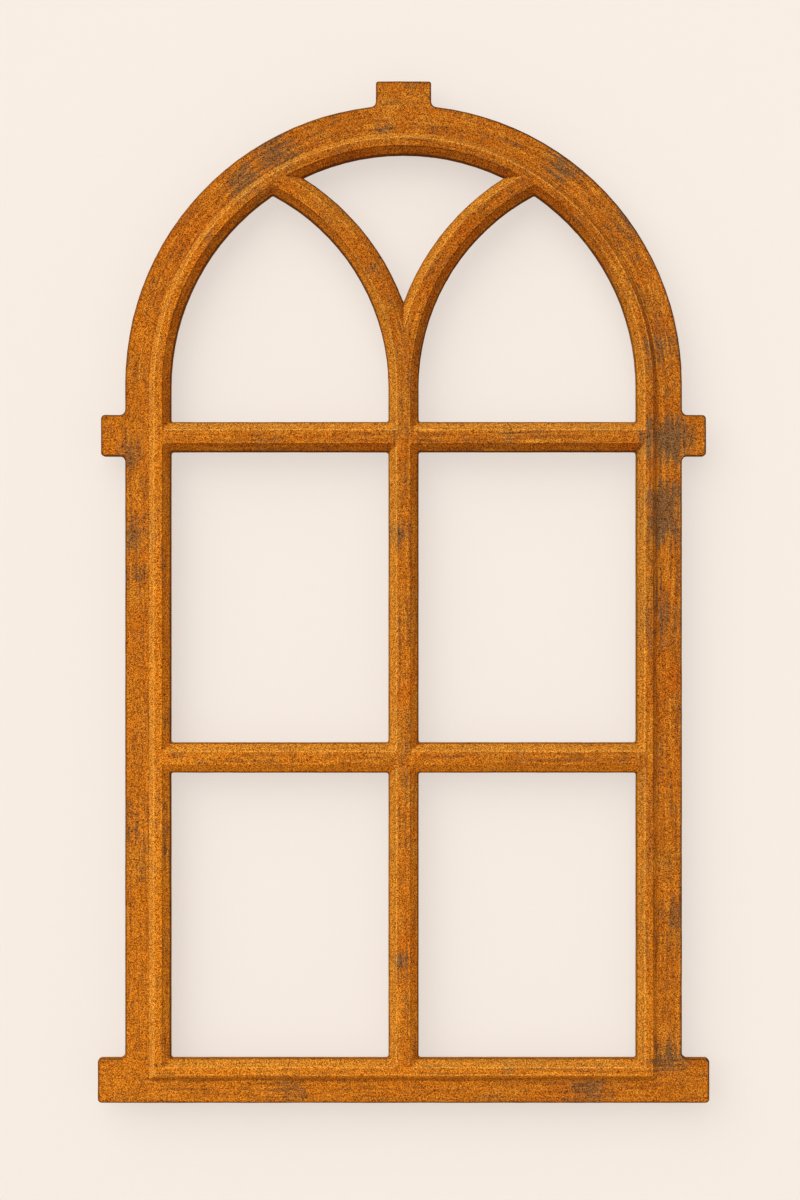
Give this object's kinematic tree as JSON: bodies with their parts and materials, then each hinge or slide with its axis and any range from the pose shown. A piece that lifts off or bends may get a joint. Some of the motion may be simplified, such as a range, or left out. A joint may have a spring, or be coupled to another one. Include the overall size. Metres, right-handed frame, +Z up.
{
  "type": "cast iron barn window frame",
  "caption": "Arched cast iron barn window frame: one casting with wall flange, lugs, sill, mullion, transoms and tracery bars with pointed lights, and glass rebates behind.",
  "frame": {"origin": "on the flange's back plane, at the middle of the sill's underside", "axes": "+Z up, -Y towards the front (outdoors), +Y into the wall, +X to the right seen from the front"},
  "size_m": [0.569, 0.024, 0.95],
  "materials": {
    "rusted_iron": "even orange and brown rust on a sand cast surface"
  },
  "bodies": {
    "root": {"cast_frame": "rusted_iron"}
  },
  "joints": []
}
